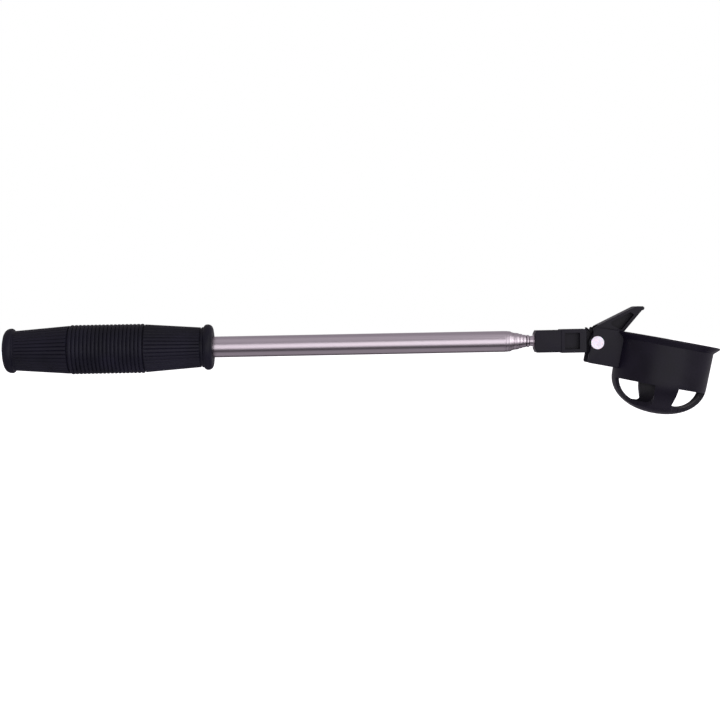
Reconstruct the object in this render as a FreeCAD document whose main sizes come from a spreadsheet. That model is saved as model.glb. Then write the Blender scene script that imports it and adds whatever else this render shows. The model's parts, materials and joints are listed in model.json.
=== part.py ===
import FreeCAD, Part
import math
import os

import Sketcher

# Telescopic golf ball retriever, collapsed. The shaft runs along +X from the butt of the grip
# to the scoop, and the mouth of the scoop faces +Z. Lengths are in millimetres.

SIZES = {
    # how far a cutting shape runs past the surface it cuts, and how far joined blocks overlap
    "past": 1.0,
    "lap": 1.0,
    # grip: stations along the shaft, and diameters
    "grip_length": 110.2,
    "bead_width": 5.2,
    "butt_bead_end": 6.3,
    "butt_bead_dia": 23.5,
    "front_bead_dia": 23.9,
    "bead_round": 1.5,
    "cone_small_dia": 21.0,
    "cone_large_dia": 25.0,
    "barrel_start": 35.1,
    "barrel_end": 73.9,
    "barrel_dia": 26.0,
    "collar_start": 101.7,
    "collar_dia": 20.8,
    "butt_wall": 4.2,
    "flute_width": 0.8,
    "flute_depth": 0.7,
    "flute_count": 36,
    "flute_inset": 1.3,
    "groove_count": 18,
    "groove_width": 1.0,
    "groove_depth": 0.7,
    "groove_over": 0.1,
    # telescopic tubes: tube 1 is the largest and is fixed in the grip
    "tube_dia": 11.0,
    "dia_step": 1.0,
    "tube_wall": 0.3,
    "nose_length": 2.6,
    "nose_drop": 0.2,
    "tube_gap": 0.05,
    "tube_end_1": 266.6,
    "tube_end_2": 267.7,
    "tube_end_3": 270.7,
    "tube_end_4": 272.5,
    "tube_end_5": 274.4,
    "tube_end_6": 274.6,
    "slide_travel": 235.0,
    "stop_gap": 0.2,
    "bush_length": 18.0,
    "bush_split": 0.8,
    "rim_width": 0.6,
    "rim_height": 0.1,
    "plug_length": 4.0,
    # steel spigot at the tip, and the brass insert that it screws into
    "spigot_length": 30.6,
    "spigot_bead_width": 1.4,
    "spigot_bead_dia": 6.4,
    "spigot_neck_dia": 5.7,
    "spigot_flange_dia": 7.0,
    "spigot_flange_width": 0.4,
    "spigot_thread_dia": 5.0,
    "insert_start": 281.6,
    "insert_length": 8.0,
    "insert_dia": 8.0,
    # connector
    "connector_start": 278.6,
    "connector_drop": 0.3,
    "narrow_height": 11.6,
    "narrow_width": 12.2,
    "narrow_bevel": 0.9,
    "narrow_bevel_run": 2.0,
    "wide_start": 292.2,
    "wide_end": 305.6,
    "wide_height": 12.3,
    "wide_width": 12.8,
    "recess_start": 294.1,
    "recess_length": 7.9,
    "recess_height": 8.7,
    "recess_depth": 3.6,
    "tongue_width": 4.8,
    "tongue_turn": 40.0,
    "tongue_top_back": 2.5,
    "eye_dia": 10.3,
    # pivot and its two-part rivet
    "pivot_place": 310.8,
    "pivot_drop": 1.3,
    "pivot_gap": 0.06,
    "rivet_head_dia": 7.3,
    "rivet_head_height": 1.0,
    "rivet_dia": 4.4,
    "stud_dia": 2.6,
    "stud_length": 13.0,
    "stud_gap": 0.5,
    # scoop, tilted nose down about the pivot
    "scoop_tilt": 11.3,
    "cup_offset": 36.8,
    "rim_rise": 8.2,
    "lip_dia": 56.0,
    "lip_edge": 0.6,
    "lip_height": 2.7,
    "wall_dia": 50.3,
    "wall_foot_dia": 49.6,
    "cup_wall": 2.0,
    "wall_foot": 22.6,
    "dome_mid_dia": 40.4,
    "dome_mid": 32.1,
    "cap_dia": 27.4,
    "cap_top": 37.7,
    "cap_flat_dia": 12.0,
    "cup_depth": 39.5,
    "dome_round": 13.0,
    "window_top": 24.4,
    "window_foot_dia": 29.0,
    "rib_width": 7.8,
    "clevis_width": 17.0,
    "cheek_width": 2.0,
    "cheek_back": 3.7,
    "cheek_rise": 7.6,
    "cheek_peak": 8.4,
    "cheek_peak_run": 11.3,
    "cheek_front": 13.35,
    "cheek_corner": 4.0,
    "cheek_fall": 11.2,
    "web_back": 9.8,
    "web_rise": 1.0,
    "room_top": 14.4,
    # lever: two straight edges, each at a distance from the pivot, meeting in a beak
    "back_angle": 25.6,
    "back_distance": 7.7,
    "back_start": 3.5,
    "back_end": 26.6,
    "back_wall": 1.4,
    "front_angle": 49.1,
    "front_distance": 7.24,
    "front_start": 5.85,
    "front_end": 27.7,
    "front_wall": 1.6,
    "beak_reach": 25.4,
    "beak_rise": 17.6,
    "beak_half": 1.0,
    "lever_width": 12.8,
    "lever_web": 4.0,
    "hub_dia": 8.8,
    "hub_turn": 50.0,
    "lever_slot_width": 9.0,
    "lever_slot_dia": 18.4,
    "panel_back_start": 9.8,
    "panel_back_end": 22.8,
    "panel_front_end": 23.7,
    "panel_front_start": 13.05,
    "seat_gap": 0.15,
    "seat_end": 16.6,
    # double torsion spring
    "wire_dia": 0.8,
    "leg_dia": 0.66,
    "coil_dia": 6.2,
    "coil_start": 2.65,
    "coil_length": 1.6,
    "bridge_reach": 4.6,
    "bridge_rise": 7.65,
    "leg_reach": 8.6,
    "leg_rise": 1.0,
}

document = FreeCAD.newDocument("retriever")
sheet = document.addObject("Spreadsheet::Sheet", "Size")
for row, (alias, value) in enumerate(SIZES.items(), start=1):
    sheet.set(f"A{row}", alias)
    sheet.set(f"B{row}", str(value))
    sheet.setAlias(f"B{row}", alias)
document.recompute()

ALONG_SHAFT = FreeCAD.Rotation(FreeCAD.Vector(0, 1, 0), 90)
ACROSS_SHAFT = FreeCAD.Rotation(FreeCAD.Vector(1, 0, 0), 90)
PIVOT_X = "Size.pivot_place"
PIVOT_Z = "-Size.pivot_drop"


# ---- small tools for the document


def place(item, across="0", along="0", up="0", rotation=FreeCAD.Rotation()):
    """Turns an object and binds where it stands."""
    item.Placement = FreeCAD.Placement(FreeCAD.Vector(), rotation)
    item.setExpression("Placement.Base.x", across)
    item.setExpression("Placement.Base.y", along)
    item.setExpression("Placement.Base.z", up)
    return item


def make(kind, name, **expressions):
    """Adds a primitive whose sizes are bound to expressions."""
    item = document.addObject(kind, name)
    for key, text in expressions.items():
        item.setExpression(key, text)
    return item


def rod(name, start, length, diameter):
    """Cylinder on the shaft's axis."""
    item = make("Part::Cylinder", name, Radius=f"({diameter}) / 2", Height=length)
    return place(item, across=start, rotation=ALONG_SHAFT)


def crosswise(name, near, length, diameter):
    """Cylinder on the pivot's axis, from y = near towards +Y."""
    item = make("Part::Cylinder", name, Radius=f"({diameter}) / 2", Height=length)
    far = f"({near}) + ({length})"
    return place(item, across=PIVOT_X, along=far, up=PIVOT_Z, rotation=ACROSS_SHAFT)


def fuse(name, items):
    item = document.addObject("Part::MultiFuse", name)
    item.Shapes = items
    return item


def cut(name, base, tool):
    item = document.addObject("Part::Cut", name)
    item.Base = base
    item.Tool = tool
    return item


def new_body(name):
    return document.addObject("PartDesign::Body", name)


def origin_item(body, role):
    return next(item for item in body.Origin.OriginFeatures if item.Role == role)


def new_sketch(body, name, role, offset="0"):
    sketch = body.newObject("Sketcher::SketchObject", name)
    sketch.AttachmentSupport = (origin_item(body, role), [""])
    sketch.MapMode = "FlatFace"
    sketch.setExpression(".AttachmentOffset.Base.z", offset)
    return sketch


def bind(sketch, constraint, text):
    number = sketch.addConstraint(constraint)
    sketch.setExpression(f"Constraints[{number}]", text)


def outline(body, name, points, role="XZ_Plane", offset="0"):
    """Closed straight-sided outline through points given as pairs of expressions."""
    sketch = new_sketch(body, name, role, offset)
    count = len(points)
    turn = 2 * math.pi / count
    ring = [FreeCAD.Vector(math.cos(turn * i), math.sin(turn * i), 0) for i in range(count + 1)]
    for i in range(count):
        sketch.addGeometry(Part.LineSegment(ring[i], ring[i + 1]), False)
    for i in range(count):
        sketch.addConstraint(Sketcher.Constraint("Coincident", i, 2, (i + 1) % count, 1))
    for i, (across, up) in enumerate(points):
        bind(sketch, Sketcher.Constraint("DistanceX", i, 1, 1.0), across)
        bind(sketch, Sketcher.Constraint("DistanceY", i, 1, 1.0), up)
    return sketch


def circle(body, name, across, up, diameter, role="XZ_Plane", offset="0"):
    sketch = new_sketch(body, name, role, offset)
    sketch.addGeometry(Part.Circle(FreeCAD.Vector(), FreeCAD.Vector(0, 0, 1), 1), False)
    bind(sketch, Sketcher.Constraint("DistanceX", 0, 3, 1.0), across)
    bind(sketch, Sketcher.Constraint("DistanceY", 0, 3, 1.0), up)
    bind(sketch, Sketcher.Constraint("Radius", 0, 1.0), f"({diameter}) / 2")
    return sketch


def turned(body, kind, sketch, axis="H_Axis"):
    """Revolution or Groove of a sketch through a full turn."""
    feature = body.newObject(f"PartDesign::{kind}", f"{sketch.Name}_{kind.lower()}")
    feature.Profile = sketch
    feature.ReferenceAxis = (sketch, [axis])
    feature.Angle = 360
    document.recompute()
    return feature


def straight(body, kind, sketch, width):
    """Pad or Pocket of a sketch, half its width to each side of the sketch's plane."""
    feature = body.newObject(f"PartDesign::{kind}", f"{sketch.Name}_{kind.lower()}")
    feature.Profile = sketch
    feature.SideType = "Symmetric"
    feature.setExpression("Length", width)
    document.recompute()
    return feature


def rounded(body, name, radius, wanted):
    """Fillets the edges of the body's tip that a test picks out."""
    base = body.Tip
    picked = [f"Edge{i}" for i, edge in enumerate(base.Shape.Edges, start=1) if wanted(edge)]
    feature = body.newObject("PartDesign::Fillet", name)
    feature.Base = (base, picked)
    feature.setExpression("Radius", radius)
    document.recompute()
    return feature


def is_ring(edge, diameters):
    """Whether an edge is a circle with one of some diameters."""
    curve = edge.Curve
    return isinstance(curve, Part.Circle) and any(abs(2 * curve.Radius - wide) < 0.01 for wide in diameters)


# ---- grip


def build_grip():
    body = new_body("grip")
    bead_start = "Size.grip_length - Size.bead_width"
    cone_small = "Size.cone_small_dia / 2"
    cone_large = "Size.cone_large_dia / 2"
    barrel = "Size.barrel_dia / 2"
    bore = "Size.tube_dia / 2"
    profile = outline(body, "grip_profile", [
        ("0", "0"),
        ("0", "Size.butt_bead_dia / 2"),
        ("Size.bead_width", "Size.butt_bead_dia / 2"),
        ("Size.butt_bead_end", cone_small),
        ("Size.barrel_start", cone_large),
        ("Size.barrel_start", barrel),
        ("Size.barrel_end", barrel),
        ("Size.barrel_end", cone_large),
        ("Size.collar_start", cone_small),
        ("Size.collar_start", "Size.collar_dia / 2"),
        (bead_start, "Size.collar_dia / 2"),
        (bead_start, "Size.front_bead_dia / 2"),
        ("Size.grip_length", "Size.front_bead_dia / 2"),
        ("Size.grip_length", bore),
        ("Size.butt_wall", bore),
        ("Size.butt_wall", "0"),
    ])
    turned(body, "Revolution", profile)
    beads = (SIZES["butt_bead_dia"], SIZES["front_bead_dia"])
    rounded(body, "grip_beads", "Size.bead_round",
            lambda edge: is_ring(edge, beads) and edge.Curve.Center.x != SIZES["bead_width"])

    pitch = "(Size.barrel_end - Size.barrel_start) / (Size.groove_count + 1)"
    ring = outline(body, "grip_ring", [
        (f"Size.barrel_start + {pitch} - Size.groove_width / 2", f"{barrel} + Size.groove_over"),
        (f"Size.barrel_start + {pitch}", f"{barrel} - Size.groove_depth"),
        (f"Size.barrel_start + {pitch} + Size.groove_width / 2", f"{barrel} + Size.groove_over"),
    ])
    groove = turned(body, "Groove", ring)
    rings = body.newObject("PartDesign::LinearPattern", "grip_rings")
    rings.Originals = [groove]
    rings.Direction = (origin_item(body, "X_Axis"), [""])
    rings.setExpression("Length", f"{pitch} * (Size.groove_count - 1)")
    rings.setExpression("Occurrences", "Size.groove_count")
    body.Tip = rings
    document.recompute()

    floor_large = f"{cone_large} - Size.flute_depth"
    floor_small = f"{cone_small} - Size.flute_depth"
    butt_flute = outline(body, "butt_flute", [
        ("Size.butt_bead_end + Size.flute_inset", floor_small),
        ("Size.barrel_start", floor_large),
        ("Size.barrel_start", f"{barrel}"),
        ("Size.butt_bead_end + Size.flute_inset", f"{cone_small} + Size.past"),
    ])
    front_flute = outline(body, "front_flute", [
        ("Size.barrel_end", floor_large),
        ("Size.collar_start - Size.flute_inset", floor_small),
        ("Size.collar_start - Size.flute_inset", f"{cone_small} + Size.past"),
        ("Size.barrel_end", f"{barrel}"),
    ])
    flutes = [straight(body, "Pocket", sketch, "Size.flute_width") for sketch in (butt_flute, front_flute)]
    around = body.newObject("PartDesign::PolarPattern", "grip_flutes")
    around.Originals = flutes
    around.Axis = (origin_item(body, "X_Axis"), [""])
    around.Angle = 360
    around.setExpression("Occurrences", "Size.flute_count")
    body.Tip = around
    return body


# ---- telescopic shaft


def outer_radius(number):
    return f"(Size.tube_dia - {number - 1} * Size.dia_step) / 2"


def inner_radius(number):
    return f"{outer_radius(number)} - Size.tube_wall"


def nose_start(number):
    return f"Size.tube_end_{number} - Size.nose_length"


def rear_end(number):
    """Where a tube begins: its bush stops against the nose of the tube outside it."""
    if number == 1:
        return "Size.butt_wall"
    used = "(Size.stop_gap + Size.slide_travel + Size.bush_length + Size.rim_width)"
    return f"{nose_start(number - 1)} - {used}"


def build_tube(number):
    body = new_body(f"tube_{number}")
    outer = outer_radius(number)
    inner = inner_radius(number)
    end = f"Size.tube_end_{number}"
    rear = rear_end(number)
    points = [(rear, inner)]
    if number == 1:
        points += [(rear, outer)]
    else:
        rim = f"{outer} + Size.rim_height"
        rim_end = f"{rear} + Size.rim_width"
        points += [(rear, rim), (rim_end, rim), (rim_end, outer)]
    points += [(nose_start(number), outer), (end, f"{outer} - Size.nose_drop")]
    if number < 6:
        throat = f"{outer_radius(number + 1)} + Size.tube_gap"
        points += [(end, throat), (nose_start(number), throat), (nose_start(number), inner)]
    else:
        points += [(end, inner)]
    turned(body, "Revolution", outline(body, f"tube_{number}_profile", points))
    return body


def build_bush(number):
    """Two brass half shells round the rear of a sliding tube."""
    start = f"{rear_end(number)} + Size.rim_width"
    length = "Size.bush_length"
    shell = rod(f"bush_{number}_shell", start, length, f"2 * ({inner_radius(number - 1)} - Size.tube_gap)")
    bore = rod(f"bush_{number}_bore", start, length, f"2 * ({outer_radius(number)})")
    split = make("Part::Box", f"bush_{number}_split",
                 Length=length, Width="Size.bush_split", Height="Size.tube_dia")
    place(split, across=start, along="-Size.bush_split / 2", up="-Size.tube_dia / 2")
    return cut(f"bush_{number}", shell, fuse(f"bush_{number}_away", [bore, split]))


def build_plug():
    return rod("butt_plug", "Size.butt_wall", "Size.plug_length", f"2 * ({inner_radius(1)})")


def build_spigot():
    body = new_body("tip_spigot")
    fit = inner_radius(6)
    bead_end = "Size.tube_end_6 + Size.spigot_bead_width"
    start = "Size.insert_start + Size.insert_length - Size.lap - Size.spigot_length"
    profile = outline(body, "spigot_profile", [
        (start, "0"),
        (start, fit),
        ("Size.tube_end_6", fit),
        ("Size.tube_end_6", "Size.spigot_bead_dia / 2"),
        (bead_end, "Size.spigot_bead_dia / 2"),
        (bead_end, "Size.spigot_neck_dia / 2"),
        ("Size.connector_start - Size.spigot_flange_width", "Size.spigot_neck_dia / 2"),
        ("Size.connector_start - Size.spigot_flange_width", "Size.spigot_flange_dia / 2"),
        ("Size.connector_start", "Size.spigot_flange_dia / 2"),
        ("Size.connector_start", "Size.spigot_neck_dia / 2"),
        ("Size.insert_start", "Size.spigot_neck_dia / 2"),
        ("Size.insert_start", "Size.spigot_thread_dia / 2"),
        (f"{start} + Size.spigot_length", "Size.spigot_thread_dia / 2"),
        (f"{start} + Size.spigot_length", "0"),
    ])
    turned(body, "Revolution", profile)
    return body


def build_insert():
    shell = rod("insert_shell", "Size.insert_start", "Size.insert_length", "Size.insert_dia")
    bore = rod("insert_bore", "Size.insert_start", "Size.insert_length", "Size.spigot_thread_dia")
    return cut("head_insert", shell, bore)


# ---- connector and rivet


def build_connector():
    body = new_body("head_connector")
    narrow_top = "Size.narrow_height / 2 - Size.connector_drop"
    narrow_foot = "-Size.narrow_height / 2 - Size.connector_drop"
    top = "Size.wide_height / 2 - Size.connector_drop"
    foot = "-Size.wide_height / 2 - Size.connector_drop"
    start = "Size.connector_start"
    bevel_end = "Size.connector_start + Size.narrow_bevel"
    narrow = outline(body, "narrow_block", [
        (start, f"{narrow_foot} + Size.narrow_bevel_run"),
        (bevel_end, narrow_foot),
        ("Size.wide_start + Size.lap", narrow_foot),
        ("Size.wide_start + Size.lap", narrow_top),
        (bevel_end, narrow_top),
        (start, f"{narrow_top} - Size.narrow_bevel_run"),
    ])
    straight(body, "Pad", narrow, "Size.narrow_width")
    wide = outline(body, "wide_block", [
        ("Size.wide_start", foot),
        ("Size.wide_end", foot),
        ("Size.wide_end", top),
        ("Size.wide_start", top),
    ])
    straight(body, "Pad", wide, "Size.wide_width")
    tongue = outline(body, "tongue", [
        ("Size.wide_end - Size.lap", foot),
        (PIVOT_X, f"{PIVOT_Z} - Size.eye_dia / 2"),
        (PIVOT_X, PIVOT_Z),
        (f"{PIVOT_X} + Size.eye_dia / 2 * sin(Size.tongue_turn)",
         f"{PIVOT_Z} + Size.eye_dia / 2 * cos(Size.tongue_turn)"),
        (f"{PIVOT_X} - Size.tongue_top_back", top),
        ("Size.wide_end - Size.lap", top),
    ])
    straight(body, "Pad", tongue, "Size.tongue_width")
    eye = circle(body, "eye", PIVOT_X, PIVOT_Z, "Size.eye_dia")
    straight(body, "Pad", eye, "Size.tongue_width")
    hole = circle(body, "eye_hole", PIVOT_X, PIVOT_Z, "Size.rivet_dia + 2 * Size.pivot_gap")
    straight(body, "Pocket", hole, "Size.wide_width")
    socket = outline(body, "socket", [
        ("Size.connector_start - Size.past", "0"),
        ("Size.connector_start - Size.past", "Size.spigot_neck_dia / 2"),
        ("Size.insert_start", "Size.spigot_neck_dia / 2"),
        ("Size.insert_start", "Size.insert_dia / 2"),
        ("Size.insert_start + Size.insert_length", "Size.insert_dia / 2"),
        ("Size.insert_start + Size.insert_length", "0"),
    ])
    turned(body, "Groove", socket)
    recess_end = "Size.recess_start + Size.recess_length"
    for side in (-1, 1):
        name = "near_recess" if side < 0 else "far_recess"
        # the XZ plane's normal is -Y
        middle = f"{-side} * Size.wide_width / 2"
        recess = outline(body, name, [
            ("Size.recess_start", "-Size.recess_height / 2 - Size.connector_drop"),
            (recess_end, "-Size.recess_height / 2 - Size.connector_drop"),
            (recess_end, "Size.recess_height / 2 - Size.connector_drop"),
            ("Size.recess_start", "Size.recess_height / 2 - Size.connector_drop"),
        ], offset=middle)
        straight(body, "Pocket", recess, "2 * Size.recess_depth")
    return body


def build_rivet_barrel():
    half = "Size.clevis_width / 2"
    head = crosswise("barrel_head", f"-{half} - Size.rivet_head_height", "Size.rivet_head_height",
                     "Size.rivet_head_dia")
    shank = crosswise("barrel_shank", f"-{half}", "Size.clevis_width", "Size.rivet_dia")
    bore = crosswise("barrel_bore", f"{half} - Size.stud_length", "Size.stud_length", "Size.stud_dia")
    return cut("rivet_barrel", fuse("barrel_solid", [head, shank]), bore)


def build_rivet_stud():
    half = "Size.clevis_width / 2"
    head = crosswise("stud_head", half, "Size.rivet_head_height", "Size.rivet_head_dia")
    shank = crosswise("stud_shank", f"{half} - Size.stud_length + Size.stud_gap",
                      "Size.stud_length - Size.stud_gap", "Size.stud_dia")
    return fuse("rivet_stud", [head, shank])


# ---- scoop: its own frame has the middle of the rim at the origin, with the rim along X


def tilt_scoop(item):
    """Stands the scoop at its tilt with its cheeks on the pivot."""
    item.Placement = FreeCAD.Placement(FreeCAD.Vector(), FreeCAD.Rotation(FreeCAD.Vector(0, 1, 0), 1))
    item.setExpression("Placement.Rotation.Angle", "Size.scoop_tilt")
    tilt = "Size.scoop_tilt"
    across = f"{PIVOT_X} + Size.cup_offset * cos({tilt}) + Size.rim_rise * sin({tilt})"
    up = f"{PIVOT_Z} - Size.cup_offset * sin({tilt}) + Size.rim_rise * cos({tilt})"
    item.setExpression("Placement.Base.x", across)
    item.setExpression("Placement.Base.z", up)
    return item


def from_pivot(forward, down):
    """A point of the scoop's frame, given forward of and below the pivot."""
    return (f"{forward} - Size.cup_offset", f"-Size.rim_rise - ({down})")


def cup_profile():
    wall = "Size.cup_wall"
    outer = [
        ("Size.lip_dia / 2", "0"),
        ("Size.lip_dia / 2", "-Size.lip_edge"),
        ("Size.wall_dia / 2", "-Size.lip_height"),
        ("Size.wall_foot_dia / 2", "-Size.wall_foot"),
        ("Size.dome_mid_dia / 2", "-Size.dome_mid"),
        ("Size.cap_dia / 2", "-Size.cap_top"),
        ("Size.cap_flat_dia / 2", "-Size.cup_depth"),
        ("0", "-Size.cup_depth"),
    ]
    inner = [
        ("0", f"-Size.cup_depth + {wall}"),
        ("Size.cap_flat_dia / 2", f"-Size.cup_depth + {wall}"),
        (f"Size.cap_dia / 2 - {wall} / 2", f"-Size.cap_top + 0.9 * {wall}"),
        (f"Size.dome_mid_dia / 2 - 0.75 * {wall}", f"-Size.dome_mid + 0.65 * {wall}"),
        (f"Size.wall_foot_dia / 2 - {wall}", f"-Size.wall_foot + {wall} / 4"),
        (f"Size.wall_dia / 2 - {wall}", "-Size.lip_height"),
        (f"Size.lip_dia / 2 - {wall}", "0"),
    ]
    return outer + inner


def build_windows():
    """Four openings in the dome, which leave a cap joined to the wall by four ribs."""
    blocks = []
    for quarter, (side, face) in enumerate([(1, 1), (-1, 1), (-1, -1), (1, -1)]):
        block = make("Part::Box", f"window_block_{quarter}",
                     Length="Size.cup_depth", Width="Size.cup_depth", Height="Size.cup_depth")
        place(block, across=f"{side} * Size.rib_width / 2", along=f"{face} * Size.rib_width / 2",
              up="-Size.window_top - Size.cup_depth",
              rotation=FreeCAD.Rotation(FreeCAD.Vector(0, 0, 1), 90 * quarter))
        blocks.append(block)
    cap = make("Part::Cylinder", "window_cap", Radius="Size.window_foot_dia / 2", Height="2 * Size.cup_depth")
    place(cap, up="-2 * Size.cup_depth")
    return cut("windows", fuse("window_blocks", blocks), cap)


def build_scoop():
    body = new_body("scoop_shell")
    turned(body, "Revolution", outline(body, "cup_profile", cup_profile()), axis="V_Axis")
    dome = (SIZES["dome_mid_dia"], SIZES["cap_dia"])
    rounded(body, "dome_outside", "Size.dome_round", lambda edge: is_ring(edge, dome))

    cheek = outline(body, "cheek", [
        from_pivot("-Size.cheek_back", "-Size.cheek_rise"),
        from_pivot("Size.cheek_peak_run", "-Size.cheek_peak"),
        from_pivot("Size.cheek_front", "-Size.cheek_corner"),
        from_pivot("Size.cheek_front", "Size.cheek_fall"),
        from_pivot("-Size.cheek_back", "Size.cheek_fall"),
    ])
    straight(body, "Pad", cheek, "Size.clevis_width")
    # the room between the cheeks: behind the web, and above the line that the lever rests on
    seat_angle = "(Size.front_angle + Size.scoop_tilt)"
    seat_distance = "(Size.front_distance + Size.seat_gap)"

    def seat_point(run):
        forward = f"{seat_distance} * sin{seat_angle} + {run} * cos{seat_angle}"
        return from_pivot(forward, f"{seat_distance} * cos{seat_angle} - {run} * sin{seat_angle}")

    room = outline(body, "clevis_room", [
        from_pivot("-Size.cheek_back - Size.past", "Size.cheek_fall + Size.past"),
        from_pivot("-Size.cheek_back - Size.past", "-Size.room_top"),
        seat_point("Size.seat_end"),
        seat_point("Size.front_start"),
        from_pivot("Size.web_back", "-Size.web_rise"),
        from_pivot("Size.web_back", "Size.cheek_fall + Size.past"),
    ])
    straight(body, "Pocket", room, "Size.clevis_width - 2 * Size.cheek_width")
    hollow = outline(body, "cup_hollow", [
        ("0", "-Size.wall_foot"),
        ("Size.wall_foot_dia / 2 - Size.cup_wall", "-Size.wall_foot"),
        ("Size.wall_dia / 2 - Size.cup_wall", "-Size.lip_height"),
        ("Size.lip_dia / 2 - Size.cup_wall", "0"),
        ("Size.lip_dia / 2 - Size.cup_wall", "Size.lip_height"),
        ("0", "Size.lip_height"),
    ])
    turned(body, "Groove", hollow, axis="V_Axis")
    pin_hole = circle(body, "pin_hole", *from_pivot("0", "0"), "Size.rivet_dia + 2 * Size.pivot_gap")
    straight(body, "Pocket", pin_hole, "2 * Size.clevis_width")
    return tilt_scoop(cut("scoop", body, build_windows()))


# ---- lever: its own frame has the pivot at the origin


def back_point(run, inset="0"):
    """A point along the lever's upper edge, set in from it."""
    away = f"(Size.back_distance - ({inset}))"
    angle = "(Size.back_angle)"
    return (f"{run} * cos{angle} - {away} * sin{angle}", f"{run} * sin{angle} + {away} * cos{angle}")


def front_point(run, inset="0"):
    """A point along the lever's front face, set in from it."""
    away = f"(Size.front_distance - ({inset}))"
    angle = "(Size.front_angle)"
    return (f"{run} * cos{angle} + {away} * sin{angle}", f"{run} * sin{angle} - {away} * cos{angle}")


def build_lever():
    body = new_body("lock_lever")
    place(body, across=PIVOT_X, up=PIVOT_Z)
    arm = outline(body, "lever_arm", [
        ("-Size.hub_dia / 2", "0"),
        back_point("Size.back_start"),
        back_point("Size.back_end"),
        ("Size.beak_reach - Size.beak_half", "Size.beak_rise + Size.beak_half"),
        ("Size.beak_reach", "Size.beak_rise"),
        ("Size.beak_reach - Size.beak_half", "Size.beak_rise - Size.beak_half"),
        front_point("Size.front_end"),
        front_point("Size.front_start"),
        ("Size.hub_dia / 2 * cos(Size.hub_turn)", "-Size.hub_dia / 2 * sin(Size.hub_turn)"),
        ("0", "0"),
    ])
    straight(body, "Pad", arm, "Size.lever_width")
    hub = circle(body, "lever_hub", "0", "0", "Size.hub_dia")
    straight(body, "Pad", hub, "Size.lever_width")
    slot = circle(body, "lever_slot", "0", "0", "Size.lever_slot_dia")
    straight(body, "Pocket", slot, "Size.lever_slot_width")
    bore = circle(body, "lever_bore", "0", "0", "Size.rivet_dia + 2 * Size.pivot_gap")
    straight(body, "Pocket", bore, "2 * Size.lever_width")
    depth = "(Size.lever_width - Size.lever_web) / 2"
    for side in (-1, 1):
        name = "near_panel" if side < 0 else "far_panel"
        panel = outline(body, name, [
            back_point("Size.panel_back_start", "Size.back_wall"),
            back_point("Size.panel_back_end", "Size.back_wall"),
            front_point("Size.panel_front_end", "Size.front_wall"),
            front_point("Size.panel_front_start", "Size.front_wall"),
        ], offset=f"{-side} * Size.lever_width / 2")
        straight(body, "Pocket", panel, f"2 * {depth}")
    return body


# ---- double torsion spring: a coil each side of the tongue, a bridge over the tongue, and two legs


def wire(name, start, end, diameter="Size.leg_dia"):
    """Straight stretch of wire between two points."""
    item = make("Part::Cylinder", name, Radius=f"{diameter} / 2")
    run = end - start
    item.Height = run.Length
    item.Placement = FreeCAD.Placement(start, FreeCAD.Rotation(FreeCAD.Vector(0, 0, 1), run))
    return item


def tangent_point(reach, rise, turn):
    """Where a straight leg to a point leaves the coil, on the side that turn chooses."""
    radius = (SIZES["coil_dia"] - SIZES["wire_dia"] + SIZES["leg_dia"]) / 2
    away = math.hypot(reach, rise)
    angle = math.atan2(rise, reach) + turn * math.acos(radius / away)
    return radius * math.cos(angle), radius * math.sin(angle)


def build_spring():
    centre_x = SIZES["pivot_place"]
    centre_z = -SIZES["pivot_drop"]
    inset = SIZES["wire_dia"] / 2 + 0.1
    coil_near = SIZES["coil_start"] + inset
    coil_far = SIZES["coil_start"] + SIZES["coil_length"] - inset

    def point(reach, side, rise):
        return FreeCAD.Vector(centre_x + reach, side, centre_z + rise)

    bridge = (SIZES["bridge_reach"] * -1, SIZES["bridge_rise"])
    leg = (SIZES["leg_reach"], SIZES["leg_rise"])
    bridge_root = tangent_point(*bridge, 1)
    leg_root = tangent_point(*leg, 1)
    pieces = [wire("spring_bridge", point(bridge[0], -coil_near - inset, bridge[1]),
                   point(bridge[0], coil_near + inset, bridge[1]), "Size.wire_dia")]
    for side in (-1, 1):
        name = "near" if side < 0 else "far"
        start = "-Size.coil_start - Size.coil_length" if side < 0 else "Size.coil_start"
        outside = crosswise(f"{name}_coil_outside", start, "Size.coil_length",
                            "Size.coil_dia + Size.wire_dia")
        inside = crosswise(f"{name}_coil_inside", start, "Size.coil_length",
                           "Size.coil_dia - Size.wire_dia")
        pieces.append(cut(f"{name}_coil", outside, inside))
        pieces.append(wire(f"{name}_bridge_leg", point(bridge_root[0], side * coil_near, bridge_root[1]),
                           point(bridge[0], side * coil_near, bridge[1])))
        pieces.append(wire(f"{name}_lever_leg", point(leg_root[0], side * coil_far, leg_root[1]),
                           point(leg[0], side * coil_far, leg[1])))
    return fuse("lever_spring", pieces)


# ---- the whole retriever


def build_all():
    items = [build_grip(), build_plug()]
    items += [build_tube(number) for number in range(1, 7)]
    items += [build_bush(number) for number in range(2, 7)]
    items += [build_spigot(), build_insert(), build_connector()]
    items += [build_rivet_barrel(), build_rivet_stud()]
    items += [build_scoop(), build_lever(), build_spring()]
    document.recompute()
    return items


def check(items):
    for item in document.Objects:
        if {"Invalid", "Error"} & set(item.State):
            raise RuntimeError(f"{item.Name} did not compute: {item.State}")
    for item in items:
        if item.Shape.isNull() or not item.Shape.isValid():
            raise RuntimeError(f"{item.Label} has no valid shape")


def write(items):
    os.makedirs("parts", exist_ok=True)
    for item in items:
        item.Shape.exportStep(f"parts/{item.Label}.step")
        box = item.Shape.BoundBox
        print(f"{item.Label:15s} solids {len(item.Shape.Solids)}  x {box.XMin:7.2f} {box.XMax:7.2f}"
              f"  y {box.YMin:6.2f} {box.YMax:6.2f}  z {box.ZMin:6.2f} {box.ZMax:6.2f}"
              f"  volume {item.Shape.Volume:9.1f}")


sub_parts = build_all()
check(sub_parts)
write(sub_parts)
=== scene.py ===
import json
import math

import bpy
from mathutils import Matrix, Vector


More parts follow.
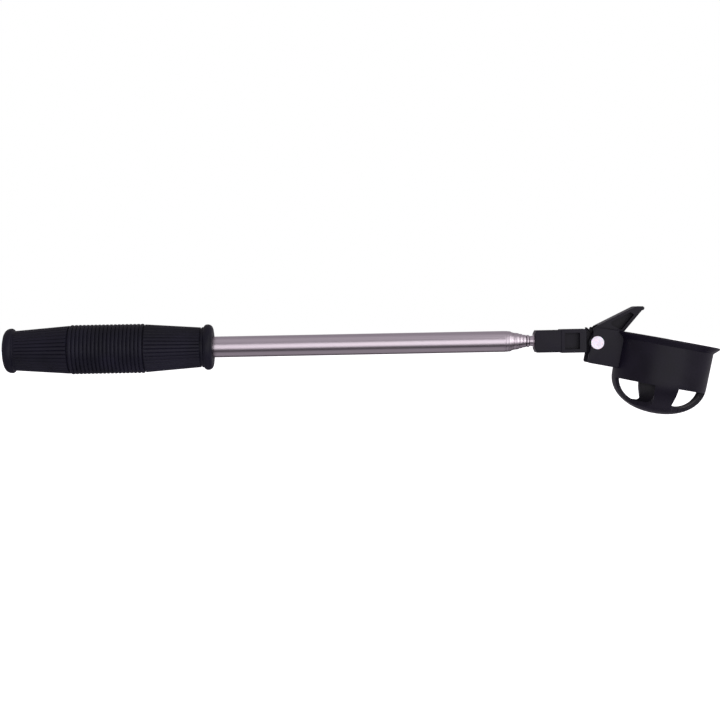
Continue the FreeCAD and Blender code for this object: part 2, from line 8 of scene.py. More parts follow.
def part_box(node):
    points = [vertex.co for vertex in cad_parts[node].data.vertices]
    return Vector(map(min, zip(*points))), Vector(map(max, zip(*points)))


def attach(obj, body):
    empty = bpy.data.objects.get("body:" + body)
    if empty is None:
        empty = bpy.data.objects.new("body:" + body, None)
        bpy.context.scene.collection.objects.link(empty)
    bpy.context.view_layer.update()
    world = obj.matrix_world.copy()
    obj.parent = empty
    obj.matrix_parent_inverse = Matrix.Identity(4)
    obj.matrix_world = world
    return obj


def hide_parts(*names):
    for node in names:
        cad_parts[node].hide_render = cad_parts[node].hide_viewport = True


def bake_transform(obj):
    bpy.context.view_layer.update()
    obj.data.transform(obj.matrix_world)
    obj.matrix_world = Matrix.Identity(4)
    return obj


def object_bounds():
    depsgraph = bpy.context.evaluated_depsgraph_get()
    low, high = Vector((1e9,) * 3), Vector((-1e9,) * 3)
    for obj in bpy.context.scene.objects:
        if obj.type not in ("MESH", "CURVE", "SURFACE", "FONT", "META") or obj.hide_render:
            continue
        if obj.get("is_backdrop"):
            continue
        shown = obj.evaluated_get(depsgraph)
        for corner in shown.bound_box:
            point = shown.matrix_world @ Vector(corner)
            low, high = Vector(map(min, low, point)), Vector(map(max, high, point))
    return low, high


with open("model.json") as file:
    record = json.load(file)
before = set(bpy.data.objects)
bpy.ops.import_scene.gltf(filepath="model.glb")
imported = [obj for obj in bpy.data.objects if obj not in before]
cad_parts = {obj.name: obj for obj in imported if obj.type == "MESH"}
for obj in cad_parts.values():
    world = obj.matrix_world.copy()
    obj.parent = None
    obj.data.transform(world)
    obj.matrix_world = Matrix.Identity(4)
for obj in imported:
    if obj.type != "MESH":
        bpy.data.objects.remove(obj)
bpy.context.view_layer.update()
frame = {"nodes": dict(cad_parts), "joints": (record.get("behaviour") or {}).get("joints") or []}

# Golf ball retriever, collapsed: grip at the left, steel telescopic shaft, ball cup at the right.
# The shaft runs along X, the mouth of the cup faces up, and the sizes below are in millimetres.

nodes = frame["nodes"]
mm = 0.001
fullTurn = 2 * math.pi
pivot = next(Vector(joint["pos_m"]) for joint in frame["joints"] if joint["name"] == "scoop_tilt")
bpy.ops.object.select_all(action="DESELECT")
bpy.context.scene.view_settings.view_transform = "Standard"   # a white page stays white


# modelling helpers

def makeActive(piece):
    bpy.ops.object.select_all(action="DESELECT")
    piece.select_set(True)
    bpy.context.view_layer.objects.active = piece


def applyPlace(piece):
    makeActive(piece)
    bpy.ops.object.transform_apply(location=True, rotation=True, scale=True)


def roundCorners(corners, cuts=5):
    # corners are (x, y) or (x, y, radius), and a radius turns that corner into an arc
    points = []
    for i, corner in enumerate(corners):
        here = Vector(corner[:2])
        if len(corner) == 2:
            points.append(here)
            continue
        radius = corner[2]
        before = (Vector(corners[i - 1][:2]) - here).normalized()
        after = (Vector(corners[(i + 1) % len(corners)][:2]) - here).normalized()
        half = before.angle(after) / 2
        middle = here + (before + after).normalized() * radius / math.sin(half)
        start = here + before * radius / math.tan(half) - middle
        end = here + after * radius / math.tan(half) - middle
        for cut in range(cuts + 1):
            points.append(middle + start.normalized().slerp(end.normalized(), cut / cuts) * radius)
    return points


def drawChain(name, points):
    # a plane shrunk to one vertex, then extruded from point to point
    bpy.ops.object.select_all(action="DESELECT")
    bpy.ops.mesh.primitive_plane_add(size=mm, location=points[0])
    piece = bpy.context.object
    piece.name = name
    bpy.ops.object.mode_set(mode="EDIT")
    bpy.ops.mesh.select_mode(type="VERT")
    bpy.ops.mesh.merge(type="CENTER")
    for here, there in zip(points, points[1:]):
        bpy.ops.mesh.extrude_region_move(TRANSFORM_OT_translate={"value": there - here})
    return piece


def spinPiece(name, corners, steps, closed=False, cuts=5):
    # corners are (along, radius) in millimetres, turned round the X axis
    flat = roundCorners(corners, cuts)
    if closed:
        flat.append(flat[0])
    piece = drawChain(name, [Vector((point.x, 0, point.y)) * mm for point in flat])
    bpy.ops.mesh.select_all(action="SELECT")
    bpy.ops.mesh.spin(steps=steps, angle=fullTurn, center=(0, 0, 0), axis=(1, 0, 0))
    bpy.ops.mesh.select_all(action="SELECT")
    bpy.ops.mesh.remove_doubles(threshold=0.002 * mm)
    bpy.ops.mesh.delete_loose()
    bpy.ops.mesh.select_all(action="SELECT")
    bpy.ops.mesh.normals_make_consistent(inside=False)
    bpy.ops.object.mode_set(mode="OBJECT")
    applyPlace(piece)
    return piece


def prism(name, corners, halfWidth, middle=0.0, cuts=5):
    # corners are (across, up) in millimetres, and the prism is halfWidth to each side of y = middle
    near = (middle - halfWidth) * mm
    flat = roundCorners(corners, cuts)
    piece = drawChain(name, [Vector((point.x * mm, near, point.y * mm)) for point in flat])
    bpy.ops.mesh.select_all(action="SELECT")
    bpy.ops.mesh.edge_face_add()
    bpy.ops.mesh.extrude_region_move(TRANSFORM_OT_translate={"value": (0, 2 * halfWidth * mm, 0)})
    bpy.ops.mesh.select_all(action="SELECT")
    bpy.ops.mesh.normals_make_consistent(inside=False)
    bpy.ops.object.mode_set(mode="OBJECT")
    applyPlace(piece)
    return piece


def movePiece(piece, place=Vector(), turn=0.0, axis="Y"):
    # turns a piece about the frame's origin, moves it, and keeps the result in its mesh
    piece.matrix_world = Matrix.Translation(place) @ Matrix.Rotation(turn, 4, axis)
    applyPlace(piece)
    return piece


def combine(piece, tool, operation="DIFFERENCE"):
    makeActive(piece)
    joined = piece.modifiers.new("combine", "BOOLEAN")
    joined.object = tool
    joined.operation = operation
    joined.solver = "EXACT"
    bpy.ops.object.modifier_apply(modifier=joined.name)
    bpy.data.objects.remove(tool)
    return piece


def drillAcross(piece, radius, place=Vector(), reach=10):
    # a round hole from side to side, through the given place
    drill = spinPiece("drill", [(-reach, 0), (-reach, radius), (reach, radius), (reach, 0)], 48)
    return combine(piece, movePiece(drill, place, math.pi / 2, "Z"))


def softenEdges(piece, width, segments=3, angle=30):
    makeActive(piece)
    soft = piece.modifiers.new("soften", "BEVEL")
    soft.width = width * mm
    soft.segments = segments
    soft.limit_method = "ANGLE"
    soft.angle_limit = math.radians(angle)
    bpy.ops.object.modifier_apply(modifier=soft.name)
    return piece


def finishPiece(piece, body, slot, material, *replaced, smooth=32):
    makeActive(piece)
    bpy.ops.object.shade_smooth_by_angle(angle=math.radians(smooth))
    piece.data.materials.clear()
    piece.data.materials.append(material)
    if body:
        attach(piece, body)
    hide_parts(*replaced)
    print("made", piece.name, len(piece.data.polygons), "faces")
    return piece


# materials

def linearColour(code):
    # sRGB hex to the linear values that a shader wants
    values = [int(code[i:i + 2], 16) / 255 for i in (1, 3, 5)]
    return [v / 12.92 if v <= 0.04045 else ((v + 0.055) / 1.055) ** 2.4 for v in values] + [1.0]


def addNode(tree, kind, settings=None, **links):
    # settings holds attributes and, by number or name, input values; links are socket=output
    node = tree.nodes.new(kind)
    for key, value in (settings or {}).items():
        if isinstance(key, str) and hasattr(node, key):
            setattr(node, key, value)
        else:
            node.inputs[key].default_value = value
    for key, output in links.items():
        socket = node.inputs[int(key[1:])] if key[0] == "i" and key[1:].isdigit() else node.inputs[key]
        tree.links.new(output, socket)
    return node


def newMaterial(name, **values):
    # a material with one shader, whose even values are set on its own sockets
    material = bpy.data.materials.new(name)
    material.use_nodes = True
    tree = material.node_tree
    tree.nodes.clear()
    shader = addNode(tree, "ShaderNodeBsdfPrincipled")
    for key, value in values.items():
        shader.inputs[key.replace("_", " ")].default_value = value
    addNode(tree, "ShaderNodeOutputMaterial", Surface=shader.outputs[0])
    place = addNode(tree, "ShaderNodeTexCoord").outputs["Object"]
    return material, tree, shader, place


def dressShader(tree, shader, look, tint, polish, relief=None, spots=(0.35, 0.65)):
    # tint runs through the look's two colours, polish through its two roughnesses, and relief is embossed
    ramp = addNode(tree, "ShaderNodeValToRGB", i0=tint)
    for element, code, spot in zip(ramp.color_ramp.elements, look["colours"], spots):
        element.color = linearColour(code)
        element.position = spot
    tree.links.new(ramp.outputs[0], shader.inputs["Base Color"])
    smoothest, roughest = look["roughness"]
    spread = addNode(tree, "ShaderNodeMapRange", {"From Min": 0.3, "From Max": 0.7, "To Min": smoothest,
                                                  "To Max": roughest}, i0=polish)
    tree.links.new(spread.outputs[0], shader.inputs["Roughness"])
    if relief is not None:
        bump = addNode(tree, "ShaderNodeBump", {"Strength": look["bump"], "Distance": look["depth"] * mm},
                       Height=relief)
        tree.links.new(bump.outputs[0], shader.inputs["Normal"])


# sizes and depths of the patterns are in millimetres, and the darker or duller colour comes first

# thermoplastic rubber, moulded: matt blue-black that shows a fine leathery skin and paler handled patches
rubberLook = {"colours": ("#0a0914", "#12101e"), "roughness": (0.46, 0.6), "skinSize": 0.5, "patchSize": 14,
              "depth": 0.06, "bump": 0.35}
rubber, tree, shader, place = newMaterial("mouldedRubber", Specular_IOR_Level=0.2)
skin = addNode(tree, "ShaderNodeTexNoise", {"Scale": 1 / (rubberLook["skinSize"] * mm), "Detail": 3.0}, Vector=place)
patches = addNode(tree, "ShaderNodeTexNoise", {"Scale": 1 / (rubberLook["patchSize"] * mm), "Detail": 4.0},
                  Vector=place)
dressShader(tree, shader, rubberLook, patches.outputs[0], skin.outputs[0], skin.outputs[0])

# ABS, injection moulded with a fine spark-eroded finish: satin black with soft wide highlights
plasticLook = {"colours": ("#0a0712", "#100c19"), "roughness": (0.36, 0.48), "grainSize": 0.35, "flowSize": 22,
               "depth": 0.03, "bump": 0.3}
plastic, tree, shader, place = newMaterial("mouldedAbs", Specular_IOR_Level=0.2)
grain = addNode(tree, "ShaderNodeTexNoise", {"Scale": 1 / (plasticLook["grainSize"] * mm), "Detail": 2.0},
                Vector=place)
flow = addNode(tree, "ShaderNodeTexNoise", {"Scale": 1 / (plasticLook["flowSize"] * mm), "Detail": 3.0,
                                            "Distortion": 1.5}, Vector=place)
dressShader(tree, shader, plasticLook, flow.outputs[0], flow.outputs[0], grain.outputs[0])

# stainless steel tube, drawn and brushed along its length: long fine streaks that widen the highlight
steelLook = {"colours": ("#c3b8c1", "#cdc2ca"), "roughness": (0.27, 0.34), "streakWidth": 0.3, "streakLength": 60,
             "depth": 0.001, "bump": 0.15}
steel, tree, shader, place = newMaterial("drawnStainless", Metallic=1.0)
along = 1 / (steelLook["streakLength"] * mm)
across = 1 / (steelLook["streakWidth"] * mm)
stretch = addNode(tree, "ShaderNodeMapping", {"Scale": (along, across, across)}, Vector=place)
streaks = addNode(tree, "ShaderNodeTexNoise", {"Scale": 1.0, "Detail": 4.0, "Roughness": 0.6},
                  Vector=stretch.outputs[0])
dressShader(tree, shader, steelLook, streaks.outputs[0], streaks.outputs[0], streaks.outputs[0])

# brass, turned from bar: fine rings round the shaft's axis in a warm yellow
brassLook = {"colours": ("#a47f3c", "#cba55c"), "roughness": (0.28, 0.38), "ringPitch": 0.3, "depth": 0.01,
             "bump": 0.3}
brass, tree, shader, place = newMaterial("turnedBrass", Metallic=1.0)
bandsPerScale = 0.314     # a wave at scale 1 repeats every 0.314 units
rings = addNode(tree, "ShaderNodeTexWave", {"wave_type": "BANDS", "bands_direction": "X", "Distortion": 0.6,
                                            "Scale": bandsPerScale / (brassLook["ringPitch"] * mm)}, Vector=place)
dressShader(tree, shader, brassLook, rings.outputs[1], rings.outputs[1], rings.outputs[1], (0.0, 1.0))

# polyethylene plug, moulded in natural grey: waxy, a little light passes into it
plugLook = {"colours": ("#77757a", "#8c8a8f"), "roughness": (0.45, 0.55), "cloudSize": 2}
plug, tree, shader, place = newMaterial("mouldedPolyethylene", Subsurface_Weight=0.15, Subsurface_Scale=0.5 * mm)
cloud = addNode(tree, "ShaderNodeTexNoise", {"Scale": 1 / (plugLook["cloudSize"] * mm), "Detail": 2.0}, Vector=place)
dressShader(tree, shader, plugLook, cloud.outputs[0], cloud.outputs[0])

# nylon rivet, moulded in white: smooth and faintly pink, with a little light scattered under the surface
nylonLook = {"colours": ("#d8cfdd", "#e2dae6"), "roughness": (0.32, 0.42), "cloudSize": 1.5, "depth": 0.02,
             "bump": 0.2}
nylon, tree, shader, place = newMaterial("mouldedNylon", Subsurface_Weight=0.1, Subsurface_Scale=0.6 * mm)
cloud = addNode(tree, "ShaderNodeTexNoise", {"Scale": 1 / (nylonLook["cloudSize"] * mm), "Detail": 2.0},
                Vector=place)
dressShader(tree, shader, nylonLook, cloud.outputs[0], cloud.outputs[0], cloud.outputs[0])

# music wire with a black oxide finish: dark steel, slightly streaked by the drawing die
wireLook = {"colours": ("#242327", "#3a383c"), "roughness": (0.32, 0.45), "streakSize": 0.2}
oxide, tree, shader, place = newMaterial("oxidisedMusicWire", Metallic=1.0)
marks = addNode(tree, "ShaderNodeTexNoise", {"Scale": 1 / (wireLook["streakSize"] * mm), "Detail": 3.0},
                Vector=place)
dressShader(tree, shader, wireLook, marks.outputs[0], marks.outputs[0])

for name in ["head_insert"] + [f"bush_{number}" for number in range(2, 7)]:
    nodes[name].data.materials.clear()
    nodes[name].data.materials.append(brass)
nodes["butt_plug"].data.materials.clear()
nodes["butt_plug"].data.materials.append(plug)
print("materials ready")


# grip: bead, fluted cone, ringed barrel, fluted cone, collar, bead

grip = {"beadWidth": 5.2, "frontBeadWidth": 4.5, "buttBead": 11.75, "frontBead": 12.0, "frontInset": 0.3,
        "beadRound": 2.5, "buttRound": 3.4, "innerRound": 1.6, "buttDome": (0.35, 0.9), "neck": 10.5,
        "coneLarge": 12.6, "coneStart": 6.5, "barrelStart": 35.1, "barrelEnd": 73.9, "barrel": 13.0,
        "coneEnd": 103.4, "collarStart": 104.2, "collar": 10.6, "collarGroove": 0.5, "ringCount": 19,
        "ringHeight": 0.7, "ringFill": 0.94, "gapWidth": 0.7, "gapDepth": 0.8, "bore": 5.56, "boreEnd": 4.2}
flute = {"count": 36, "rows": 8, "depth": 0.62, "fade": 0.7, "inset": 0.3, "shares": {0: 1.0, 1: 0.3, 7: 0.3}}


def barrelRings():
    # rounded ridges side by side, each half an ellipse
    points = []
    pitch = (grip["barrelEnd"] - grip["barrelStart"]) / grip["ringCount"]
    floor = grip["barrel"] - grip["ringHeight"]
    for ring in range(grip["ringCount"]):
        middle = grip["barrelStart"] + pitch * (ring + 0.5)
        for step in range(-3, 4):
            lean = math.sin(step / 3 * math.pi / 2)
            points.append((middle + grip["ringFill"] * lean * pitch / 2,
                           floor + grip["ringHeight"] * math.sqrt(1 - lean * lean)))
    return points


def coneStations(start, end, startRadius, endRadius, seam=0.05):
    # the flutes fade in and out between the first two stations and between the last two
    slope = (endRadius - startRadius) / (end - start)
    stations = (start + seam, start + flute["fade"], end - flute["fade"], end - seam)
    return [(x, startRadius + slope * (x - start)) for x in stations]


def carveFlutes(piece, stretches):
    # one row of vertices in eight sinks by the flute's depth, and its neighbours by a share of it
    makeActive(piece)
    for offset, share in flute["shares"].items():
        bpy.ops.object.mode_set(mode="EDIT")
        bpy.ops.mesh.select_all(action="DESELECT")
        bpy.ops.object.mode_set(mode="OBJECT")
        for vertex in piece.data.vertices:
            x, y, z = vertex.co / mm
            if math.hypot(y, z) > grip["neck"] - 1 and any(low < x < high for low, high in stretches):
                row = round(math.atan2(y, z) / fullTurn * flute["count"] * flute["rows"]) % flute["rows"]
                vertex.select = row == offset
        bpy.ops.object.mode_set(mode="EDIT")
        bpy.ops.mesh.select_mode(type="VERT")
        sink = 1 - share * flute["depth"] / grip["coneLarge"]
        bpy.ops.transform.resize(value=(1, sink, sink), center_override=(0, 0, 0))
        bpy.ops.object.mode_set(mode="OBJECT")


def buildGrip():
    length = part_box("grip")[1].x / mm - grip["frontInset"]
    gap = grip["gapWidth"] / 2
    low = grip["coneLarge"] - grip["gapDepth"]
    groove = grip["neck"] - grip["collarGroove"]
    beadStart = length - grip["frontBeadWidth"]
    buttConeEnd = grip["barrelStart"] - 2 * gap
    frontConeStart = grip["barrelEnd"] + 2 * gap
    domeSide, domeEdge = grip["buttDome"]
    corners = [(0, 0), (domeSide, grip["neck"] * 0.75, 8), (domeEdge, grip["buttBead"], grip["buttRound"]),
               (grip["beadWidth"], grip["buttBead"], grip["innerRound"]),
               (grip["beadWidth"] + 0.5, grip["neck"] - 0.1, 0.4), (grip["coneStart"] - 0.2, grip["neck"] - 0.1)]
    corners += coneStations(grip["coneStart"], buttConeEnd, grip["neck"], grip["coneLarge"])
    corners += [(grip["barrelStart"] - gap, low), (grip["barrelStart"] - 0.1, low)]
    corners += barrelRings()
    corners += [(grip["barrelEnd"] + 0.1, low), (grip["barrelEnd"] + gap, low)]
    corners += coneStations(frontConeStart, grip["coneEnd"], grip["coneLarge"], grip["neck"])
    corners += [(grip["coneEnd"] + 0.2, groove), (grip["collarStart"] - 0.2, groove),
                (grip["collarStart"], grip["collar"]), (beadStart - 0.3, grip["collar"], 0.3),
                (beadStart, grip["frontBead"], 1.9), (length, grip["frontBead"], grip["beadRound"]),
                (length, grip["bore"], 0.4), (grip["boreEnd"], grip["bore"]), (grip["boreEnd"], 0)]
    piece = spinPiece("gripSleeve", corners, flute["count"] * flute["rows"])
    carveFlutes(piece, [(grip["coneStart"] + flute["inset"], buttConeEnd - flute["inset"]),
                        (frontConeStart + flute["inset"], grip["coneEnd"] - flute["inset"])])
    return finishPiece(piece, "handle", "grip_rubber", rubber, "grip", smooth=40)


buildGrip()


# shaft: six tubes, each with two rolled rings behind a rounded nose

tube = {"wall": 0.3, "nesting": 0.5, "noseLength": 2.2, "noseDrop": 0.34, "noseRound": 0.18, "gap": 0.05,
        "rimWidth": 0.6, "rimHeight": 0.1, "ringWidth": 0.5, "ringDepth": 0.1, "ringLip": 0.02,
        "ringPlaces": (-0.9, 0.7)}


def buildTube(number):
    low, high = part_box(f"tube_{number}")
    start = low.x / mm
    end = high.x / mm
    rim = high.z / mm
    outer = rim if number == 1 else rim - tube["rimHeight"]
    inner = outer - tube["wall"]
    noseStart = end - tube["noseLength"]
    corners = [(start, inner), (start, rim, 0.05)]
    if number > 1:
        corners += [(start + tube["rimWidth"], rim, 0.05), (start + tube["rimWidth"] + 0.05, outer)]
    for place in tube["ringPlaces"]:
        middle = noseStart + place
        radius = outer - max(0, place) / tube["noseLength"] * tube["noseDrop"]
        for step in range(-3, 4):
            lean = step / 3
            lip = tube["ringLip"] if abs(step) == 3 else 0
            corners.append((middle + lean * tube["ringWidth"] / 2,
                            radius - tube["ringDepth"] * (1 - lean * lean) + lip))
    corners += [(end, outer - tube["noseDrop"], tube["noseRound"])]
    if number < 6:
        throat = outer - tube["nesting"] + tube["gap"]
        corners += [(end, throat), (noseStart, throat), (noseStart, inner)]
    else:
        corners += [(end, inner)]
    piece = spinPiece(f"tubeSection{number}", corners, 96, closed=True, cuts=4)
    body = {1: "handle", 6: "head"}.get(number, f"section_{number}")
    return finishPiece(piece, body, "tube_steel", steel, f"tube_{number}")


for number in range(1, 7):
    buildTube(number)


# tip: the steel spigot, with its bead, waisted neck and thin flange

spigot = {"fit": 2.7, "bead": 3.2, "beadWidth": 1.4, "neck": 2.6, "flange": 3.5, "flangeWidth": 0.4, "thread": 2.5,
          "threadStart": 281.6}


def buildSpigot():
    low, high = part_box("tip_spigot")
    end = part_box("tube_6")[1].x / mm
    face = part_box("head_connector")[0].x / mm
    corners = [(low.x / mm, 0), (low.x / mm, spigot["fit"], 0.3), (end, spigot["fit"]),
               (end, spigot["bead"], 0.55), (end + spigot["beadWidth"], spigot["bead"], 0.65),
               (end + spigot["beadWidth"] + 0.3, spigot["neck"], 0.3),
               (face - spigot["flangeWidth"], spigot["neck"] + 0.2, 0.2),
               (face - spigot["flangeWidth"], spigot["flange"], 0.15), (face, spigot["flange"], 0.1),
               (face, spigot["neck"]), (spigot["threadStart"], spigot["neck"]),
               (spigot["threadStart"], spigot["thread"]), (high.x / mm, spigot["thread"], 0.4), (high.x / mm, 0)]
    piece = spinPiece("tipSpigot", corners, 96, cuts=6)
    return finishPiece(piece, "head", "tube_steel", steel, "tip_spigot")


buildSpigot()


# connector: a bevelled neck, a wider block with a square recess in each side, and a tongue with an eye

block = {"narrowHalf": 5.8, "narrowDeep": 6.1, "bevel": 0.9, "bevelRun": 2.0, "wideStart": 292.2, "wideEnd": 305.6,
         "wideHalf": 6.15, "wideDeep": 6.4, "drop": 0.3, "recessStart": 294.1, "recessLength": 7.9,
         "recessHalf": 4.35, "recessDepth": 3.6, "overlap": 1, "tongueHalf": 2.4, "eye": 5.15, "eyeLean": 50,
         "shoulder": 2.5, "hole": 2.3, "socket": 2.9, "leadIn": 1.6, "insert": 4.0, "insertStart": 281.6,
         "insertEnd": 289.6}


def upright(start, end, low, high, startRound, endRound):
    # the corners of a rectangle that stands along the shaft
    return [(start, low, startRound), (end, low, endRound), (end, high, endRound), (start, high, startRound)]


def buildConnector():
    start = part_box("head_connector")[0].x / mm
    centre = -block["drop"]
    foot, top = centre - block["narrowHalf"], centre + block["narrowHalf"]
    low, high = centre - block["wideHalf"], centre + block["wideHalf"]
    neckEnd = block["wideStart"] + block["overlap"]
    piece = prism("headConnector", [
        (start, foot + block["bevelRun"], 0.4), (start + block["bevel"], foot, 0.5), (neckEnd, foot), (neckEnd, top),
        (start + block["bevel"], top, 0.5), (start, top - block["bevelRun"], 0.4)], block["narrowDeep"])
    softenEdges(piece, 0.35)
    wide = prism("wideBlock", upright(block["wideStart"], block["wideEnd"], low, high, 0.35, 0.35),
                 block["wideDeep"])
    softenEdges(wide, 0.3)
    for side in (-1, 1):
        corners = upright(block["recessStart"], block["recessStart"] + block["recessLength"],
                          centre - block["recessHalf"], centre + block["recessHalf"], 0.4, 0.4)
        combine(wide, prism("recess", corners, block["recessDepth"], side * block["wideDeep"]))
    combine(piece, wide, "UNION")
    x, z = pivot.x / mm, pivot.z / mm
    root = block["wideEnd"] - block["overlap"]
    turns = [math.radians(-90 + (90 + block["eyeLean"]) * step / 24) for step in range(25)]
    eye = [(x + block["eye"] * math.cos(turn), z + block["eye"] * math.sin(turn)) for turn in turns]
    tongue = prism("tongue", [(root, low + 0.1), *eye, (x - block["shoulder"], high - 0.1, 0.5), (root, high - 0.1)],
                   block["tongueHalf"])
    softenEdges(tongue, 0.3)
    combine(piece, tongue, "UNION")
    drillAcross(piece, block["hole"], pivot)
    socket = spinPiece("socket", [
        (start - 1, 0), (start - 1, block["socket"] + block["leadIn"]), (start + 0.6, block["socket"]),
        (block["insertStart"], block["socket"]), (block["insertStart"], block["insert"]),
        (block["insertEnd"], block["insert"]), (block["insertEnd"], 0)], 64)
    combine(piece, socket)
    return finishPiece(piece, "head", "head_plastic", plastic, "head_connector")


buildConnector()


# rivet: a white barrel from the near side and a stud from the far side

rivet = {"half": 8.5, "head": 3.4, "headHeight": 1.0, "dome": 0.25, "shank": 2.2, "stud": 1.3, "depth": 13.0,
         "dish": 0.35, "endGap": 0.5}


def buildRivet():
    half = rivet["half"]
    top = half + rivet["headHeight"]
    dish = top - rivet["dish"]
    shape = [(dish, 0), (dish, rivet["head"] * 0.25, 1.2), (top, rivet["head"] * 0.6, 1.5),
             (top - rivet["dome"], rivet["head"], 0.3), (half, rivet["head"], 0.1)]
    holeEnd = rivet["depth"] - half
    studEnd = half - rivet["depth"] + rivet["endGap"]
    barrel = shape + [(half, rivet["shank"]), (-half, rivet["shank"]), (-half, rivet["stud"]),
                      (holeEnd, rivet["stud"]), (holeEnd, 0)]
    stud = shape + [(half, rivet["stud"]), (studEnd, rivet["stud"]), (studEnd, 0)]
    near = movePiece(spinPiece("rivetBarrel", barrel, 72), pivot, -math.pi / 2, "Z")
    finishPiece(near, "cup", "rivet_nylon", nylon, "rivet_barrel")
    far = movePiece(spinPiece("rivetStud", stud, 72), pivot, math.pi / 2, "Z")
    finishPiece(far, "cup", "rivet_nylon", nylon, "rivet_stud")


buildRivet()


# cup: its own frame has the pivot at the origin and the rim level, and it is tilted at the end

cup = {"tilt": 11.3, "offset": 36.8, "rise": 8.2, "lip": 28.0, "lipEdge": 0.9, "lipHeight": 3.5, "wall": 25.15,
       "foot": 24.8, "footDepth": 22.0, "thick": 2.0, "depth": 39.5, "dropPower": 0.97, "reachPower": 0.94,
       "windowTop": 24.4, "windowRound": 9.0, "windowLean": 26, "ring": 14.3, "rib": 6.4, "ribFoot": 3.2}
# points of the clevis are (forward, down, radius) from the pivot
clevis = {"side": ((-3.1, -7.6, 0.8), (11.3, -8.4, 1.0), (13.35, -4.0, 1.5), (13.35, 11.2, 1.0), (-3.1, 11.2, 1.0)),
          "half": 8.5, "roomHalf": 6.5, "roomBack": -5, "roomFront": 9.8, "roomTop": 14.4, "roomFoot": 13,
          "seatAngle": 49.1, "seatAway": 7.39, "seatRun": (16.6, 5.85), "pin": 2.26}


def domeCurve(inset):
    # a bowl that leaves the wall steeply and ends flat, as a squarish quarter of an ellipse
    reach = cup["foot"] - inset
    drop = cup["depth"] - cup["footDepth"] - inset
    points = []
    for step in range(1, 16):
        turn = math.pi / 2 * step / 16
        points.append((-cup["footDepth"] - drop * math.sin(turn) ** cup["dropPower"],
                       reach * math.cos(turn) ** cup["reachPower"]))
    return points


def cupShell():
    # along is the depth under the rim, and the piece is stood up afterwards
    thick = cup["thick"]
    outer = [(0, cup["lip"], 0.25), (-cup["lipEdge"], cup["lip"], 0.2), (-cup["lipHeight"], cup["wall"], 0.5),
             (-cup["footDepth"], cup["foot"])] + domeCurve(0) + [(-cup["depth"], 0)]
    inner = [(-cup["depth"] + thick, 0)] + domeCurve(thick)[::-1]
    inner += [(-cup["footDepth"], cup["foot"] - thick), (-cup["lipHeight"], cup["wall"] - thick, 2),
              (0, cup["lip"] - thick, 0.5)]
    return spinPiece("ballCup", outer + inner, 144, closed=True, cuts=6)


def overPivot(piece, turn=0.0, axis="Y"):
    # turns a piece and moves it out to the cup's place beside the pivot
    movePiece(piece, Vector(), turn, axis)
    return movePiece(piece, Vector((cup["offset"], 0, cup["rise"])) * mm)


def windowCutter(quarter, height=12, far=30):
    # a quarter of the dome between two ribs and outside the bottom ring, drawn looking down the cup,
    # where the ribs narrow from the wall to the ring
    slim, ring, corner = cup["ribFoot"], cup["ring"], cup["windowRound"]
    edge = slim + (cup["rib"] - slim) / (cup["foot"] - ring) * (far - ring)
    first = math.atan2(slim, ring) + math.radians(cup["windowLean"])
    turns = [first + (math.pi / 2 - 2 * first) * step / 10 for step in range(11)]
    arc = [(ring * math.cos(turn), ring * math.sin(turn)) for turn in reversed(turns)]
    corners = [(far, edge), (far, far), (edge, far), (slim, ring, corner)] + arc + [(ring, slim, corner)]
    piece = prism("window", corners, height)
    # from lying in XZ with its height along Y, to standing under the window's top edge
    movePiece(piece, Vector(), math.pi / 2, "X")
    movePiece(piece, Vector((0, 0, -cup["windowTop"] - height)) * mm)
    return overPivot(piece, quarter * math.pi / 2, "Z")


def seatPoint(run):
    # a point along the face that the lever's front rests on
    seat = math.radians(clevis["seatAngle"] + cup["tilt"])
    away = clevis["seatAway"]
    return (away * math.sin(seat) + run * math.cos(seat), run * math.sin(seat) - away * math.cos(seat))


def buildCup():
    piece = overPivot(cupShell(), -math.pi / 2)
    cheeks = prism("clevis", [(forward, -down, radius) for forward, down, radius in clevis["side"]], clevis["half"])
    softenEdges(cheeks, 0.35)
    combine(piece, cheeks, "UNION")
    back, front, foot = clevis["roomBack"], clevis["roomFront"], -clevis["roomFoot"]
    room = prism("room", [(back, foot), (back, clevis["roomTop"]), *map(seatPoint, clevis["seatRun"]),
                          (front, 1.0, 0.8), (front, foot)], clevis["roomHalf"])
    combine(piece, room)
    thick = cup["thick"]
    hollow = spinPiece("hollow", [
        (-cup["footDepth"], 0), (-cup["footDepth"], cup["foot"] - thick), (-cup["lipHeight"], cup["wall"] - thick),
        (0, cup["lip"] - thick), (3, cup["lip"] - thick), (3, 0)], 144)
    combine(piece, overPivot(hollow, -math.pi / 2))
    for quarter in range(4):
        combine(piece, windowCutter(quarter))
    drillAcross(piece, clevis["pin"])
    movePiece(piece, pivot, math.radians(cup["tilt"]), "Y")
    return finishPiece(piece, "cup", "head_plastic", plastic, "scoop")


buildCup()


# lever: forked ears on the pivot, a wedge with recessed sides, and a rounded beak

lever = {"backAngle": 25.6, "back": 7.7, "frontAngle": 49.1, "front": 7.24, "half": 6.4, "web": 2.0, "hub": 4.4,
         "slotHalf": 4.5, "slot": 9.2, "hole": 2.26, "backWall": 1.4, "frontWall": 1.6,
         "backRuns": (3.5, 26.6), "frontRuns": (27.2, 5.85), "panelBack": (9.8, 22.8), "panelFront": (23.7, 13.05),
         "beak": ((24.4, 18.5, 0.9), (25.3, 17.5, 0.7), (24.5, 16.5, 0.6), (23.5, 16.4, 1.2)),
         "heel": ((2.83, -3.37, 3.0), (-3.2, -3.2, 3.0))}


# run goes out along the lever's back or front edge, and inset goes in from that edge
def backPoint(run, inset=0.0, *radius):
    angle = math.radians(lever["backAngle"])
    away = lever["back"] - inset
    return (run * math.cos(angle) - away * math.sin(angle), run * math.sin(angle) + away * math.cos(angle), *radius)


